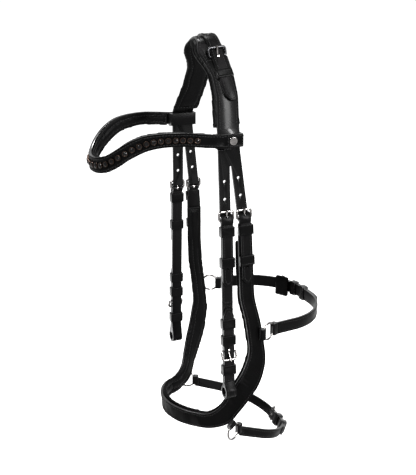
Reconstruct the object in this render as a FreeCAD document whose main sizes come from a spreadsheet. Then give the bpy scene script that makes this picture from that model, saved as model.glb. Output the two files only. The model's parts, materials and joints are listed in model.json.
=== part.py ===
import FreeCAD, Part
import math
import os

from FreeCAD import Placement, Rotation, Vector

# Snaffle bridle, full size.  +Z is up, the horse faces -X, its left side is -Y.
# The origin is the poll seat: the middle of the padding's underside, behind the ears.

doc = FreeCAD.newDocument("snaffle_bridle")
sheet = doc.addObject("Spreadsheet::Sheet", "Sizes")

SIZES = [
    ("strap_width", 14, "width of billets and cheekpieces"),
    ("leather", 2.8, "thickness of one layer of strap leather"),
    ("cheek_leather", 3.6, "thickness of the cheekpiece, two layers stitched"),
    ("layer_gap", 0.1, "space between two layers that lie on each other"),
    ("side_tilt", 2.6, "degrees that the sides spread downwards"),
    ("poll_radius", 20, "outer radius of the headpiece over the poll"),
    ("poll_slope", 35, "degrees from upright beside the poll"),
    ("brow_slope", 28.3, "degrees from upright above the browband"),
    ("flank_run", 46, "straight length of the headpiece beside the poll"),
    ("temple_run", 46, "straight length of the headpiece above the browband"),
    ("headpiece_width", 28.5, "width of the headpiece where the browband holds it"),
    ("poll_padding", 7, "thickness of the padding over the poll"),
    ("crown_width", 17, "width of the strap over the poll"),
    ("bar_radius", 1.5, "radius of the buckle wire"),
    ("bar_play", 0.06, "radial play of leather and tongues round a buckle bar"),
    ("buckle_width", 22, "outside width of a cheek buckle"),
    ("buckle_depth", 11, "distance between the two bars of a buckle"),
    ("tongue_radius", 1.1, "radius of a buckle tongue"),
    ("keeper_height", 12, "length of a keeper along its strap"),
    ("keeper_wall", 1.8, "thickness of a keeper"),
    ("keeper_play", 0.3, "space between a keeper and what it holds"),
    ("cheek_centre", -6.5, "X of the cheekpieces"),
    ("nose_centre", 17.5, "X of the noseband buckles"),
    ("buckle_level", -203, "height of the bars of the four upper buckles"),
    ("nose_lean", 2, "degrees that the noseband's sides lean back"),
    ("cheek_length", 225, "from the upper buckle's bar to the middle of the bit eye"),
    ("bit_radius", 6, "radius of the eye that holds the bit ring"),
    ("turn_back", 112, "length of the cheekpiece's end turned up from the bit eye"),
    ("bit_buckle_rise", 56, "height of the bit buckle's bar above the bit eye"),
    ("hole_radius", 1.9, "radius of a punched hole"),
    ("hole_pitch", 22, "distance between punched holes"),
    ("brow_leather", 3.2, "thickness of the browband"),
    ("brow_padding", 4.5, "thickness of the browband's lining"),
    ("brow_front", 150, "how far the browband stands before the poll"),
    ("brow_half", 82, "half the width of the browband outside"),
    ("brow_bend", 58, "radius of the browband at the forehead"),
    ("brow_turn", 60, "degrees of that bend on each side"),
    ("brow_level", -105.5, "height of the browband's loops at their middle"),
    ("brow_height", 16, "height of the browband's loops"),
    ("crystal_pitch", 8.5, "distance between crystals"),
    ("crystal_radius", 2.6, "radius of a crystal"),
    ("stud_radius", 5, "radius of the blank stud on the left loop"),
    ("nose_leather", 2.8, "thickness of the noseband leather"),
    ("nose_padding", 4.5, "thickness of the noseband's lining"),
    ("ring_radius", 11, "radius of a ring at the middle of its wire"),
    ("ring_wire", 1.4, "radius of the ring's wire"),
    ("ring_yaw", 28, "degrees that the rings turn inwards"),
    ("ring_play", 0.15, "play of a ring in the chape on the noseband"),
    ("eye_play", 0.8, "play of a ring in the strap's loose eye"),
    ("jaw_width", 16, "width of the jaw strap"),
    ("jaw_reach", 105, "how far the jaw strap reaches behind its rings"),
    ("jaw_spread", 95, "half the distance between the jaw rings"),
    ("jaw_bend", 75, "radius of the jaw strap's bends"),
    ("jaw_drop", 1, "degrees that the jaw strap falls towards the back"),
    ("chin_width", 13, "width of the chin strap"),
    ("chin_reach", 105, "how far the chin strap reaches behind its rings"),
    ("chin_spread", 82, "half the distance between the chin rings"),
    ("chin_bend", 60, "radius of the chin strap's bends"),
    ("chin_drop", 21, "degrees that the chin strap falls towards the back"),
]

for row, (alias, value, note) in enumerate(SIZES, start=1):
    sheet.set(f"A{row}", note)
    sheet.set(f"B{row}", str(value))
    sheet.setAlias(f"B{row}", alias)
doc.recompute()


def size(alias):
    """One driving dimension, read back from the sheet."""
    return float(sheet.get(alias))


STRAP = size("strap_width")
LEATHER = size("leather")
CHEEK = size("cheek_leather")
GAP = size("layer_gap")
TILT = size("side_tilt")
BAR = size("bar_radius")
DEPTH = size("buckle_depth")
SIDES = (("left", -1), ("right", 1))
TIP = 7.0
THROUGH = 400.0


# ---------------------------------------------------------------- outlines

def arc(first, middle, last):
    """An arc through three points, always anticlockwise as sketches want it."""
    if (middle - first).cross(last - middle).z < 0:
        first, last = last, first
    return Part.Arc(first, middle, last)


def outline(points):
    """A closed outline of lines and tangent arcs through corners (x, y, corner radius)."""
    edges = []
    count = len(points)
    starts, ends = [], []
    for i, (x, y, radius) in enumerate(points):
        here = Vector(x, y, 0)
        before = (Vector(*points[i - 1][:2], 0) - here).normalize()
        after = (Vector(*points[(i + 1) % count][:2], 0) - here).normalize()
        if radius == 0:
            starts.append(here)
            ends.append(here)
            continue
        half = before.getAngle(after) / 2
        reach = radius / math.tan(half)
        starts.append(here + before * reach)
        ends.append(here + after * reach)
        middle = here + (before + after).normalize() * (radius / math.sin(half) - radius)
        edges.append(arc(starts[-1], middle, ends[-1]))
    for i in range(count):
        if (starts[(i + 1) % count] - ends[i]).Length > 1e-6:
            edges.append(Part.LineSegment(ends[i], starts[(i + 1) % count]))
    return edges


def rectangle(x0, y0, x1, y1, radius=0.0):
    return outline([(x0, y0, radius), (x1, y0, radius), (x1, y1, radius), (x0, y1, radius)])


def circle(x, y, radius):
    return [Part.Circle(Vector(x, y, 0), Vector(0, 0, 1), radius)]


class Track:
    """The route of a strap seen edge-on: straight runs ("run", length) and bends
    ("bend", radius, degrees), where a positive bend turns left."""

    def __init__(self, start, heading, moves):
        self.parts = []
        point, angle, done = Vector(*start, 0), math.radians(heading), 0.0
        for move in moves:
            if move[0] == "run":
                length, turn, radius = move[1], 0.0, None
            else:
                radius = move[1] * math.copysign(1, move[2])
                turn = math.radians(move[2])
                length = radius * turn
            self.parts.append((done, length, point, angle, radius))
            point, angle = self.step(point, angle, radius, length)
            done += length
        self.length = done

    @staticmethod
    def step(point, angle, radius, length):
        if radius is None:
            return point + Vector(math.cos(angle), math.sin(angle), 0) * length, angle
        centre = point + Vector(-math.sin(angle), math.cos(angle), 0) * radius
        angle += length / radius
        return centre + Vector(math.sin(angle), -math.cos(angle), 0) * radius, angle

    def at(self, along, aside=0.0):
        """Point at a length along the route, set off to the right, and the heading there."""
        begun, _, point, angle, radius = [p for p in self.parts if p[0] <= along + 1e-9][-1]
        point, angle = self.step(point, angle, radius, along - begun)
        return point + Vector(math.sin(angle), -math.cos(angle), 0) * aside, angle

    def side(self, first, last, aside):
        """Edges of the route between two lengths, set off to the right."""
        edges = []
        for begun, length, _, _, radius in self.parts:
            low, high = max(first, begun), min(last, begun + length)
            if high - low < 1e-6:
                continue
            ends = [self.at(low, aside)[0], self.at(high - 1e-9, aside)[0]]
            if radius is None:
                edges.append(Part.LineSegment(*ends))
            else:
                edges.append(arc(ends[0], self.at((low + high) / 2, aside)[0], ends[1]))
        return edges

    def ribbon(self, first, last, near, far):
        """The closed outline of a strap between two set-offs from the route."""
        one, two = self.side(first, last, near), self.side(first, last, far)
        tails = [Part.LineSegment(self.at(first, near)[0], self.at(first, far)[0]),
                 Part.LineSegment(self.at(last - 1e-9, near)[0], self.at(last - 1e-9, far)[0])]
        return one + two + tails


# ---------------------------------------------------------------- features

def new_body(name):
    body = doc.addObject("PartDesign::Body", name)
    body.Label = name
    return body


def draw(body, name, role, edges, offset=0.0):
    """A sketch on one of the body's own origin planes."""
    sketch = body.newObject("Sketcher::SketchObject", name)
    plane = [f for f in body.Origin.OriginFeatures if f.Role == role][0]
    sketch.AttachmentSupport = (plane, [""])
    sketch.MapMode = "FlatFace"
    sketch.AttachmentOffset = Placement(Vector(0, 0, offset), Rotation())
    for edge in edges:
        sketch.addGeometry(edge, False)
    return sketch


def pad(body, name, role, edges, length, offset=0.0):
    """Pad a sketch equally to both sides; length is a number or a sheet expression."""
    feature = body.newObject("PartDesign::Pad", name)
    feature.Profile = draw(body, name + "_sketch", role, edges, offset)
    feature.SideType = "Symmetric"
    if isinstance(length, str):
        feature.setExpression("Length", length)
    else:
        feature.Length = length
    doc.recompute()
    return feature


def pocket(body, name, role, edges, length=THROUGH, offset=0.0):
    """Cut a sketch equally to both sides and make sure that it removes something."""
    before = body.Shape.Volume
    feature = body.newObject("PartDesign::Pocket", name)
    feature.Profile = draw(body, name + "_sketch", role, edges, offset)
    feature.SideType = "Symmetric"
    feature.Length = length
    doc.recompute()
    if not body.Shape.Volume < before - 1e-3:
        raise RuntimeError(f"{name} cuts nothing")
    return feature


def fillet(body, name, radius, edges):
    base = body.Tip
    feature = body.newObject("PartDesign::Fillet", name)
    feature.Base = (base, edges)
    feature.Radius = radius
    doc.recompute()
    return feature


def solid(name, shape, placement=None):
    """A sub-part whose shape comes straight from Part's functions."""
    feature = doc.addObject("Part::Feature", name)
    feature.Label = name
    feature.Shape = shape
    if placement:
        feature.Placement = placement
    return feature


def hang(side, x, level, lean=0.0):
    """Place of something that hangs on one side: its own -Z runs down along the strap,
    spread outwards by the side tilt and leaning back by the given degrees."""
    turn = Rotation(Vector(1, 0, 0), side * TILT) * Rotation(Vector(0, 1, 0), -lean)
    return Placement(Vector(x, side * bar_line(level), level), turn)


# ---------------------------------------------------------------- headpiece

poll_top = size("poll_padding") + LEATHER
foot_level = size("buckle_level") + 4.5
shoulders = [
    ("bend", size("poll_radius"), -(90 - size("poll_slope"))),
    ("run", size("flank_run")),
    ("bend", 150, -(size("poll_slope") - size("brow_slope"))),
    ("run", size("temple_run")),
]
padding_end = Track((0, poll_top), 0, shoulders).length - 4
shoulders.append(("bend", 20, -(size("brow_slope") - TILT)))
upper = Track((0, poll_top), 0, shoulders)
billet_run = (upper.at(upper.length - 1e-6)[0].y - foot_level) / math.cos(math.radians(TILT))
arch = Track((0, poll_top), 0, shoulders + [("run", billet_run)])
billet_foot = arch.at(arch.length)[0]


def bar_line(level):
    """Distance from the middle plane to the line of the buckle bars at a height."""
    return (billet_foot.x + (billet_foot.y - level) * math.tan(math.radians(TILT))
            + BAR + GAP)


def mirrored(edges):
    """The same edges on the other side of the middle plane."""
    flipped = []
    for edge in edges:
        low, high = edge.FirstParameter, edge.LastParameter
        points = [edge.value(low), edge.value((low + high) / 2), edge.value(high)]
        first, middle, last = [Vector(-p.x, p.y, 0) for p in points]
        line = isinstance(edge, Part.LineSegment)
        flipped.append(Part.LineSegment(first, last) if line else arc(first, middle, last))
    return flipped


def arch_ribbon(last, near, far):
    """A layer over the poll, the same on both sides, down to one length of the route."""
    half = arch.side(0, last, near) + arch.side(0, last, far)
    foot = Part.LineSegment(arch.at(last - 1e-9, near)[0], arch.at(last - 1e-9, far)[0])
    return half + [foot] + mirrored(half + [foot])


def trim(points):
    """Everything outside an outline, to cut away with a pocket."""
    return rectangle(-300, -700, 300, 200) + outline(points)


# Front and back edges of the headpiece, cut back round the ears: X, height, corner radius.
half_width = size("headpiece_width") / 2
strap_mid = -0.75
front_billet = size("cheek_centre") - STRAP / 2
rear_billet = size("nose_centre") + STRAP / 2
split_level = size("brow_level") - 11
foot = foot_level - 6

headpiece = new_body("headpiece_leather")
pad(headpiece, "arch", "YZ_Plane", arch_ribbon(arch.length, 0, LEATHER), 120)
pocket(headpiece, "edges", "XZ_Plane", trim([
    (-11, 14, 5), (-19, -6, 14), (-7, -32, 30), (-7.5, -58, 30),
    (strap_mid - half_width, -94, 40), (strap_mid - half_width, split_level, 60),
    (front_billet, foot, 0), (front_billet + STRAP, foot, 0),
    (strap_mid + 0.6, split_level, 1.2),
    (rear_billet - STRAP, foot, 0), (rear_billet, foot, 0),
    (strap_mid + half_width, split_level, 60), (strap_mid + half_width, -94, 40),
    (20.5, -58, 30), (21, -32, 30), (19, -12, 14), (11, 14, 5),
]))
billet_holes = []
for row in range(2):
    level = size("buckle_level") + 26 + size("hole_pitch") * row
    slope = (level - foot) / (split_level - foot)
    billet_holes += circle(size("cheek_centre") - 1.2 * slope, level, size("hole_radius"))
    billet_holes += circle(size("nose_centre") - 11 * slope, level + 3, size("hole_radius"))
pocket(headpiece, "billet_holes", "XZ_Plane", billet_holes)

headpiece_padding = new_body("headpiece_padding")
pad(headpiece_padding, "arch", "YZ_Plane",
    arch_ribbon(padding_end, LEATHER, poll_top), 120)
pocket(headpiece_padding, "edges", "XZ_Plane", trim([
    (-13, 16, 5), (-23.5, -6, 14), (-11, -32, 30), (-11.5, -58, 30), (-20, -112, 0),
    (14.5, -112, 0), (22.5, -58, 30), (23, -32, 30), (21, -12, 14), (13, 16, 5),
]))


# ---------------------------------------------------------------- buckles and keepers

def buckle(name, place, width, depth):
    """A wire buckle: a round-cornered frame, its hinge bar along X through the origin
    and its resting bar at +Z."""
    body = new_body(name)
    spine = draw(body, "spine", "XZ_Plane", rectangle(-width / 2 + BAR, 0, width / 2 - BAR, depth, 3))
    pipe = body.newObject("PartDesign::AdditivePipe", "wire")
    pipe.Profile = draw(body, "section", "YZ_Plane", circle(0, 0, BAR))
    pipe.Spine = (spine, [f"Edge{i}" for i in range(1, 9)])
    doc.recompute()
    body.Placement = place
    return body


def tongue(name, place, outward, depth):
    """A buckle tongue: an eye round the hinge bar and a pin that rests on the far bar."""
    reach = size("tongue_radius")
    rest = BAR + reach + 0.05
    eye = doc.addObject("Part::Cylinder", name + "_eye")
    pin = doc.addObject("Part::Cylinder", name + "_pin")
    bore = doc.addObject("Part::Cylinder", name + "_bore")
    eye.setExpression("Radius", "Sizes.bar_radius + Sizes.bar_play + 1.1")
    bore.setExpression("Radius", "Sizes.bar_radius + Sizes.bar_play")
    pin.setExpression("Radius", "Sizes.tongue_radius")
    eye.Height, bore.Height = 2.6, 6
    pin.Height = math.hypot(depth, rest) + 1.8
    along_x = Rotation(Vector(0, 1, 0), 90)
    eye.Placement = Placement(Vector(-1.3, 0, 0), along_x)
    bore.Placement = Placement(Vector(-3, 0, 0), along_x)
    pin.Placement = Placement(Vector(0, 0, 0), Rotation(Vector(0, 0, 1), Vector(0, outward * rest, depth)))
    whole = doc.addObject("Part::Fuse", name + "_whole")
    whole.Base, whole.Tool = eye, pin
    cut = doc.addObject("Part::Cut", name)
    cut.Label = name
    cut.Base, cut.Tool = whole, bore
    cut.Placement = place
    return cut


def bar_place(point, bar_axis, depth_axis):
    """Place of a buckle from its hinge bar's middle, the bar's axis and its depth's."""
    return Placement(point, Rotation(bar_axis, depth_axis.cross(bar_axis), depth_axis, "XZY"))


def keeper_edges(width, inner, outer, outward):
    """The section of a keeper round layers that lie between two distances from the bar line."""
    play, wall = size("keeper_play"), size("keeper_wall")
    x = width / 2 + play
    low, high = sorted((outward * (inner - play), outward * (outer + play)))
    return (rectangle(-x - wall, low - wall, x + wall, high + wall, 2)
            + rectangle(-x, low, x, high))


def keeper(name, place, width, inner, outer, outward, height="Sizes.keeper_height"):
    body = new_body(name)
    pad(body, "loop", "XY_Plane", keeper_edges(width, inner, outer, outward), height)
    body.Placement = place
    return body


def pointed(name, place, width, top, bottom, near, far, outward):
    """The end of a billet: a flat strap with a rounded point and one punched hole."""
    body = new_body(name)
    point = outline([(-width / 2, top, 0), (width / 2, top, 0), (width / 2, bottom + TIP, 5),
                     (0, bottom - 1.5, 4), (-width / 2, bottom + TIP, 5)])
    middle = -outward * (near + far) / 2
    pad(body, "strap", "XZ_Plane", point + circle(0, bottom + 24, size("hole_radius")),
        far - near, middle)
    body.Placement = place
    return body


def shifted(place, z):
    """A place further down (negative) or up a hanging strap."""
    return place.multiply(Placement(Vector(0, 0, z), Rotation()))


WIDTH = size("buckle_width")
FLIP = Placement(Vector(0, 0, 0), Rotation(Vector(0, 1, 0), 180))
lay_in = CHEEK / 2
lay_near = lay_in + GAP
lay_far = lay_near + LEATHER
tip_top, tip_end = -5.0, -84.0
slide_level = -53.0
fixed_levels = (-13.5, -133.0, -155.0, -195.0)


# ---------------------------------------------------------------- cheekpieces

def cheek_strap(name, side, place):
    """The cheekpiece: an eye round the upper bar, the strap, the eye for the bit ring and
    the end turned back up over itself, with a bore for the bit buckle's bar."""
    body = new_body(name)
    centre = -size("cheek_length")
    bit = size("bit_radius")
    wall = bit + LEATHER
    back = centre + size("turn_back")
    bar_level = centre + size("bit_buckle_rise")
    y = side
    pad(body, "strap", "YZ_Plane", rectangle(-lay_in, centre + 8, lay_in, -1), "Sizes.strap_width")
    pad(body, "upper_eye", "YZ_Plane", circle(0, 0, BAR + size("bar_play") + 2.3), "Sizes.strap_width")
    pad(body, "bit_fold", "YZ_Plane", circle(y * 2, centre, wall), "Sizes.strap_width")
    pad(body, "bit_fold_neck", "YZ_Plane", outline([
        (y * 2 - wall + 0.6, centre + 3, 0), (y * 2 + wall - 0.6, centre + 3, 0),
        (y * (lay_far + 0.1), centre + 21, 0), (-y * lay_in, centre + 21, 0)]), "Sizes.strap_width")
    low, high = sorted((y * lay_near, y * (lay_far + 0.1)))
    pad(body, "turned_end", "YZ_Plane", rectangle(low, centre + 14, high, back),
        "Sizes.strap_width")
    pocket(body, "point", "XZ_Plane", outline([
        (-STRAP / 2 - 3, back - 9, 0), (-STRAP / 2, back - 9, 0), (-3.5, back - 0.5, 3),
        (3.5, back - 0.5, 3), (STRAP / 2, back - 9, 0), (STRAP / 2 + 3, back - 9, 0),
        (STRAP / 2 + 3, back + 6, 0), (-STRAP / 2 - 3, back + 6, 0)]),
        LEATHER + 0.3, -y * (lay_near + lay_far) / 2)
    low, high = sorted((y * lay_in, y * (lay_near + 0.02)))
    pocket(body, "slit", "YZ_Plane", rectangle(low, centre + 22, high, back + 1))
    pocket(body, "bit_eye", "YZ_Plane", circle(y * 2, centre, bit))
    pocket(body, "upper_bore", "YZ_Plane", circle(0, 0, BAR + size("bar_play")))
    pocket(body, "bit_buckle_bore", "YZ_Plane",
           circle(y * lay_near, bar_level, BAR + size("bar_play")))
    pocket(body, "upper_slot", "XZ_Plane", rectangle(-1.7, -3.2, 1.7, 6), 12)
    pocket(body, "tongue_room", "XZ_Plane", rectangle(-1.7, bar_level - 2.9, 1.7, bar_level + 2.9),
           10, -y * (lay_near - 2.8 + 5))
    pocket(body, "tongue_slot", "XZ_Plane", rectangle(-1.7, bar_level - 9, 1.7, bar_level),
           10, -y * (lay_near + 5))
    body.Placement = place
    return body


for label, side in SIDES:
    place = hang(side, size("cheek_centre"), size("buckle_level"))
    buckle(f"cheek_buckle_{label}", place, WIDTH, DEPTH)
    tongue(f"cheek_tongue_{label}", place, side, DEPTH)
    cheek_strap(f"cheek_strap_{label}", side, place)
    pointed(f"cheek_billet_tip_{label}", place, STRAP, tip_top, tip_end, lay_near, lay_far, side)
    levels = new_body(f"cheek_fixed_keepers_{label}")
    for number, level in enumerate(fixed_levels):
        pad(levels, f"keeper_{number}", "XY_Plane",
            keeper_edges(STRAP, -lay_in, lay_far + 0.1, side), "Sizes.keeper_height", level)
    levels.Placement = place
    keeper(f"cheek_sliding_keeper_{label}", shifted(place, slide_level), STRAP, -lay_in,
           lay_far + 0.1, side)
    bar_level = size("bit_buckle_rise") - size("cheek_length")
    lift = math.degrees(math.asin((lay_far + BAR + 0.2 - lay_near) / (DEPTH + 1)))
    bit_place = place.multiply(Placement(Vector(0, side * lay_near, bar_level),
                                         Rotation(Vector(1, 0, 0), side * lift)))
    bit_place = bit_place.multiply(FLIP)
    buckle(f"bit_buckle_{label}", bit_place, WIDTH, DEPTH + 1)
    tongue(f"bit_tongue_{label}", bit_place, side, DEPTH + 1)


# ---------------------------------------------------------------- browband and noseband

def unit(vector):
    return Vector(vector).normalize()


def band(stations, near, far, rise=0.0, drop=0.0):
    """A shaped strap through stations (top edge, bottom edge) of its outer face, from one
    side to the other, between two depths behind that face.  rise and drop move its edges
    past the outer face's edges."""
    middles = [(top + bottom) * 0.5 for top, bottom in stations]
    sections = []
    for i, (top, bottom) in enumerate(stations):
        along = unit(middles[min(i + 1, len(middles) - 1)] - middles[max(i - 1, 0)])
        across = unit(top - bottom)
        inward = unit(along.cross(across))
        corners = [top + across * rise - inward * near, bottom - across * drop - inward * near,
                   bottom - across * drop - inward * far, top + across * rise - inward * far]
        sections.append(Part.makePolygon(corners + corners[:1]))
    return Part.makeLoft(sections, True, True)


def both_sides(half):
    """Stations from the right end round the front to the left end."""
    flip = lambda p: Vector(p.x, -p.y, p.z)
    return [half_station for half_station in reversed(half)] + [
        (flip(top), flip(bottom)) for top, bottom in half[1:]]


def curved(before, first, last, after, share):
    """Between first and last on a smooth curve that passes through all four."""
    return ((first * 2) + (last - before) * share
            + (before * 2 - first * 5 + last * 4 - after) * share ** 2
            + (first * 3 - before - last * 3 + after) * share ** 3) * 0.5


def finer(stations, steps=4):
    """The same strap with more stations, on smooth curves through the given ones."""
    ends = [stations[0], *stations, stations[-1]]
    made = []
    for four in zip(ends, ends[1:], ends[2:], ends[3:]):
        for step in range(steps):
            made.append([curved(*[station[edge] for station in four], step / steps)
                         for edge in (0, 1)])
    return made + [stations[-1]]


def blend(x, table):
    """Value at x from rows (x, value), on a smooth curve through them."""
    ends = [table[0], *table, table[-1]]
    for four in zip(ends, ends[1:], ends[2:], ends[3:]):
        (x0, _), (x1, _) = four[1:3]
        if x <= x1:
            return curved(*[value for _, value in four], max(0.0, (x - x0) / (x1 - x0)))
    return table[-1][1]


brow_start = -size("brow_front")
brow_side = size("brow_half")
bend_end = size("brow_bend") * math.sin(math.radians(size("brow_turn")))
second_turn = 90 - size("brow_turn")
second_radius = (brow_side - bend_end) / (1 - math.cos(math.radians(second_turn)))
brow = Track((brow_start, 0), 90, [
    ("bend", size("brow_bend"), -size("brow_turn")),
    ("bend", second_radius, -second_turn),
    ("run", 40),
])
brow_end = brow.length - 40 + max(0, -16.5 - brow.at(brow.length - 40)[0].x)

# Middle height of the browband and its width along its length from the forehead.
BROW_MIDDLE = [(0, -136), (14, -135.5), (30, -132.5), (48, -123.5), (66, -112.5),
               (84, -104.5), (104, -101), (128, -100.5), (150, -102.5), (175, -105)]
BROW_WIDTH = [(0, 18), (30, 20), (50, 22), (70, 21), (92, 18), (112, 16.5), (175, 16)]


def brow_station(along):
    point = brow.at(along)[0]
    middle, half = blend(along, BROW_MIDDLE), blend(along, BROW_WIDTH) / 2
    return Vector(point.x, point.y, middle + half), Vector(point.x, point.y, middle - half)


brow_steps = 40
brow_half_stations = [brow_station(brow_end * i / brow_steps) for i in range(brow_steps + 1)]
brow_band = band(both_sides(brow_half_stations), 0, size("brow_leather"))
low = size("brow_level") - size("brow_height") / 2
strap_out = arch.at(arch.length - (low + size("brow_height") / 2 - billet_foot.y))[0].x
loop_in, loop_out = strap_out - LEATHER - 1.3, strap_out + 1.1
loop_wall = size("brow_leather")
loops = []
for _, side in SIDES:
    x0, x1 = strap_mid - half_width - 0.8, strap_mid + half_width + 0.8
    outer = Part.makeBox(x1 - x0 + 2 * loop_wall - 1, loop_out - loop_in + 2 * loop_wall,
                         size("brow_height"), Vector(x0 - loop_wall, loop_in - loop_wall, low))
    outer = outer.makeFillet(1.4, [e for e in outer.Edges if abs(e.tangentAt(0).z) > 0.9])
    inner = Part.makeBox(x1 - x0, loop_out - loop_in, size("brow_height") + 2,
                         Vector(x0, loop_in, low - 1))
    loop = outer.cut(inner)
    if side < 0:
        loop = loop.mirror(Vector(0, 0, 0), Vector(0, 1, 0))
    loops.append(loop)
solid("browband", brow_band.fuse(loops).removeSplitter())

pad_end = brow_end - 20
lining = [brow_station(pad_end * i / brow_steps) for i in range(brow_steps + 1)]
lining_near = size("brow_leather") + 0.3
solid("browband_padding", band(both_sides(lining), lining_near, lining_near + size("brow_padding"),
                               1.0, 1.0))

crystal_count = int((brow_end - 36) / size("crystal_pitch"))
cups, crystals = [], []
crystal = size("crystal_radius")
for number in range(-crystal_count, crystal_count + 1):
    along = abs(number) * size("crystal_pitch")
    point, angle = brow.at(along)
    flip = -1 if number < 0 else 1
    outward = Vector(-math.sin(angle), math.cos(angle) * flip, 0)
    seat = Vector(point.x, point.y * flip, blend(along, BROW_MIDDLE)) + outward * 0.25
    cup = Part.makeCylinder(crystal + 0.8, 1.9, seat, outward)
    cups.append(cup.cut(Part.makeCylinder(crystal + 0.1, 2, seat + outward * 0.5, outward)))
    crystals.append(Part.makeCone(crystal, crystal * 0.55, 1.9, seat + outward * 0.6, outward))
solid("browband_crystal_cups", Part.makeCompound(cups))
solid("browband_crystals", Part.makeCompound(crystals))

stud = new_body("browband_stud")
pad(stud, "disc", "XZ_Plane", circle(0, 0, size("stud_radius")), 1.6)
fillet(stud, "rim", 0.6, [f"Edge{number}" for number, edge in enumerate(stud.Shape.Edges, start=1)
                          if isinstance(edge.Curve, Part.Circle)])
stud.Placement = Placement(Vector(3, -(loop_out + loop_wall + 0.8), size("brow_level")), Rotation())


def face_line(level):
    """Distance from the middle plane to the noseband's outer face, above its flare."""
    return bar_line(level) + lay_in


NOSE = size("nose_centre")
# The noseband's outer face from the middle of the nose round one side and up to its
# buckle: the points of its top or front edge and of its bottom or back edge.
NOSE_HALF = [
    ((-61, 0, -473), (-60, 0, -494)),
    ((-59.5, 16, -473), (-58, 15, -494)),
    ((-52, 34, -473.5), (-51, 32, -495)),
    ((-39.5, 49.5, -474.5), (-37, 48.5, -496)),
    ((-22, 61.5, -475), (-18, 62, -496.5)),
    ((-9, 69, -465), (2, 74.5, -488)),
    ((-1.5, 77.5, -447), (13, 84, -469)),
    ((6, 85, -427), (25, 91, -448)),
    ((13, 91, -410), (35.5, 96, -427)),
    ((18, 95, -393), (41.5, 98.2, -405)),
    ((21, 96, -377), (42.8, 98.8, -386)),
    ((19.6, 95.5, -359), (40, 97.2, -361)),
    ((16.2, 93.3, -333), (36.2, 94.5, -336)),
]
nose_half = [(Vector(*top), Vector(*bottom)) for top, bottom in NOSE_HALF]
for level, half in ((-306, 9.8), (-280, 9.5), (-250, 9.5), (-230, 9.5), (-219, 9.2), (-208, 7.4)):
    lean = (size("buckle_level") - level) * math.tan(math.radians(size("nose_lean")))
    nose_half.append((Vector(NOSE + lean - half, face_line(level), level),
                      Vector(NOSE + lean + half, face_line(level), level - 1)))
nose_leather = band(finer(both_sides(nose_half)), 0, size("nose_leather"))
nose_lining = band(finer(both_sides(nose_half[:-2])), size("nose_leather") + GAP,
                   size("nose_leather") + GAP + size("nose_padding"), 2.5, 0.4)

eyes = []
for _, side in SIDES:
    place = hang(side, NOSE, size("buckle_level"), size("nose_lean"))
    eye = Part.makeCylinder(BAR + size("bar_play") + 2.3, STRAP, Vector(-STRAP / 2, 0, 0), Vector(1, 0, 0))
    neck = Part.makeBox(STRAP, size("nose_leather"), 7,
                        Vector(-STRAP / 2, min(side * lay_in, side * (lay_in - size("nose_leather"))), -7.5))
    whole = eye.fuse(neck)
    whole = whole.cut(Part.makeCylinder(BAR + size("bar_play"), STRAP + 2,
                                        Vector(-STRAP / 2 - 1, 0, 0), Vector(1, 0, 0)))
    whole = whole.cut(Part.makeBox(3.4, 12, 9.2, Vector(-1.7, -6, -3.2)))
    eyes.append(whole.transformed(place.toMatrix()))
noseband = solid("noseband", nose_leather.fuse(eyes).removeSplitter())
solid("noseband_padding", nose_lining)

for label, side in SIDES:
    place = hang(side, NOSE, size("buckle_level"), size("nose_lean"))
    buckle(f"noseband_buckle_{label}", place, WIDTH, DEPTH)
    tongue(f"noseband_tongue_{label}", place, side, DEPTH)
    pointed(f"noseband_billet_tip_{label}", place, STRAP, tip_top, tip_end,
            lay_near + 0.2, lay_far + 0.2, side)
    loops = new_body(f"noseband_keepers_{label}")
    for number, level in enumerate((-13.5, slide_level)):
        legs = STRAP / 2 + 1.2
        wall = size("keeper_wall")
        edge = side * (lay_in + 0.15)
        top = side * (lay_far + 0.5)
        crest = top + side * wall
        pad(loops, f"keeper_{number}", "XY_Plane", outline([
            (-legs - wall, edge, 0), (-legs - wall, crest, 2), (legs + wall, crest, 2),
            (legs + wall, edge, 0), (legs, edge, 0), (legs, top, 0), (-legs, top, 0),
            (-legs, edge, 0)]), "Sizes.keeper_height", level)
    loops.Placement = place


# ---------------------------------------------------------------- strap over the poll

crown_mid = 3.5
crown_half = size("crown_width") / 2
crown_tip = 94.0
crown_bar = 36.0
crown_loop = 60.0
crown_slope = 0.12
crown_point = 7.0
lift_reach = LEATHER + BAR + 0.2


def edge_on(body, name, first, last, near, far, side, width):
    """One side of a layer over the poll, between two lengths of the route."""
    ribbon = arch.ribbon(first, last, near, far)
    return pad(body, name, "YZ_Plane", ribbon if side > 0 else mirrored(ribbon), width)


def crown_x(level):
    """The middle of the strap over the poll, which leans back as it falls."""
    return crown_mid + (poll_top - level) * crown_slope


def left_of_poll(along, aside):
    """A point and the downward and outward directions on the left of the poll."""
    point, angle = arch.at(along, aside)
    along_strap = Vector(-crown_slope * math.sin(angle), -math.cos(angle), math.sin(angle)).normalize()
    out = Vector(0, math.sin(angle), math.cos(angle))
    return Vector(crown_x(point.y), -point.x, point.y), along_strap, out


crown_leather = new_body("crown_leather")
edge_on(crown_leather, "right", 0, 84, -GAP, -GAP - LEATHER, 1, 90)
edge_on(crown_leather, "left", 0, crown_tip, -GAP, -GAP - LEATHER, -1, 90)
tip_point = left_of_poll(crown_tip, 0)[0]
tip_level = tip_point.z + crown_point
pocket(crown_leather, "edges", "XZ_Plane", trim([
    (crown_x(30) - crown_half, 30, 0), (crown_x(tip_level) - crown_half, tip_level, 7),
    (tip_point.x, tip_point.z - 2, 5), (crown_x(tip_level) + crown_half, tip_level, 7),
    (crown_x(30) + crown_half, 30, 0)]))
pocket(crown_leather, "hole", "XY_Plane", circle(crown_mid, -5, size("hole_radius")), 60)

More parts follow.
